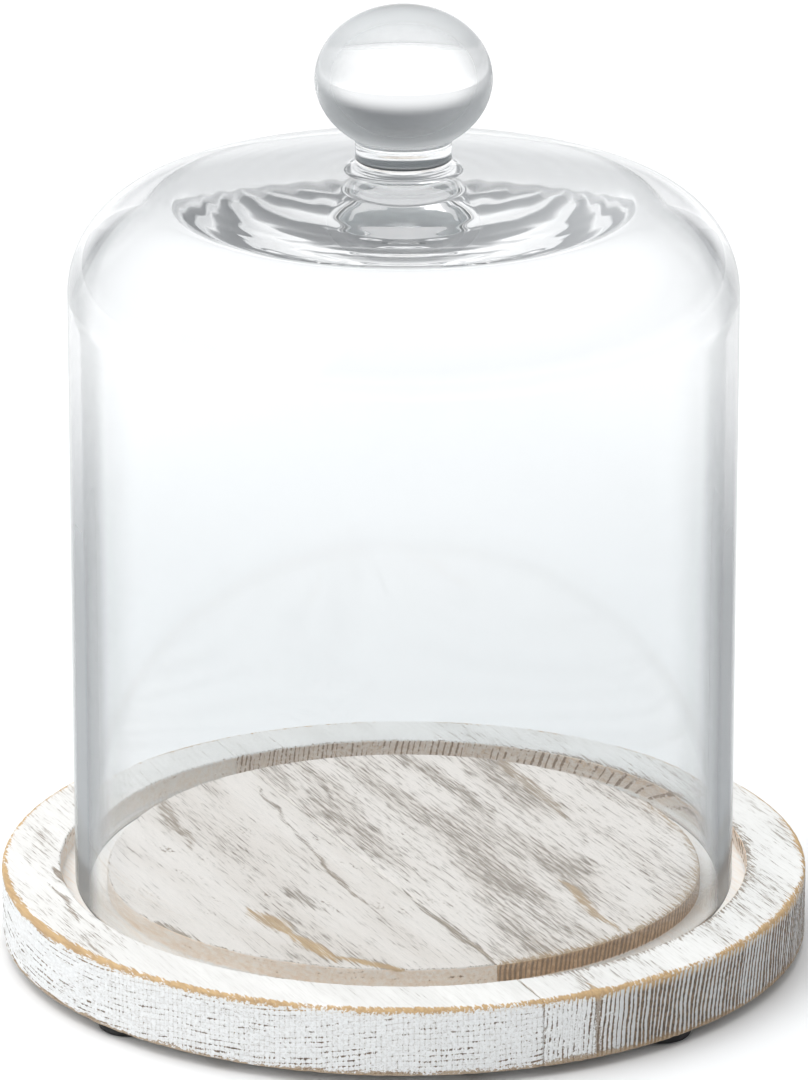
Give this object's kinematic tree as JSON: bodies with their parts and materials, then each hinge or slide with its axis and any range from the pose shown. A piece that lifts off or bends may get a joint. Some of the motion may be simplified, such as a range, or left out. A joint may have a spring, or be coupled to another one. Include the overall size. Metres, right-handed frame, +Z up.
{
  "type": "bell jar",
  "caption": "Glass bell jar with a ball knob that lifts off a round whitewashed wooden board, grooved to take its rim and standing on rubber pads.",
  "frame": {"origin": "centre of the footprint, on the plane that the rubber pads stand on", "axes": "+Z up along the axis of the bell and the board; -Y towards the front; +X to the right"},
  "size_m": [0.2, 0.2, 0.2387],
  "materials": {
    "clear_glass": "clear, fire polished",
    "whitewashed_wood": "thin whitewash, worn through to bare wood at the edges",
    "black_rubber": "matt",
    "foam_adhesive": "matt"
  },
  "bodies": {
    "base": {"board_left": "whitewashed_wood", "board_right": "whitewashed_wood", "adhesive_front_left": "foam_adhesive", "adhesive_front_right": "foam_adhesive", "adhesive_back_left": "foam_adhesive", "adhesive_back_right": "foam_adhesive", "foot_front_left": "black_rubber", "foot_front_right": "black_rubber", "foot_back_left": "black_rubber", "foot_back_right": "black_rubber"},
    "dome": {"glass_bell": "clear_glass", "glass_knob": "clear_glass"}
  },
  "joints": [
    {"name": "dome_lift", "type": "slide", "parent": "base", "child": "dome", "axis": [0, 0, 1], "range_m": [0, 0.2]}
  ]
}
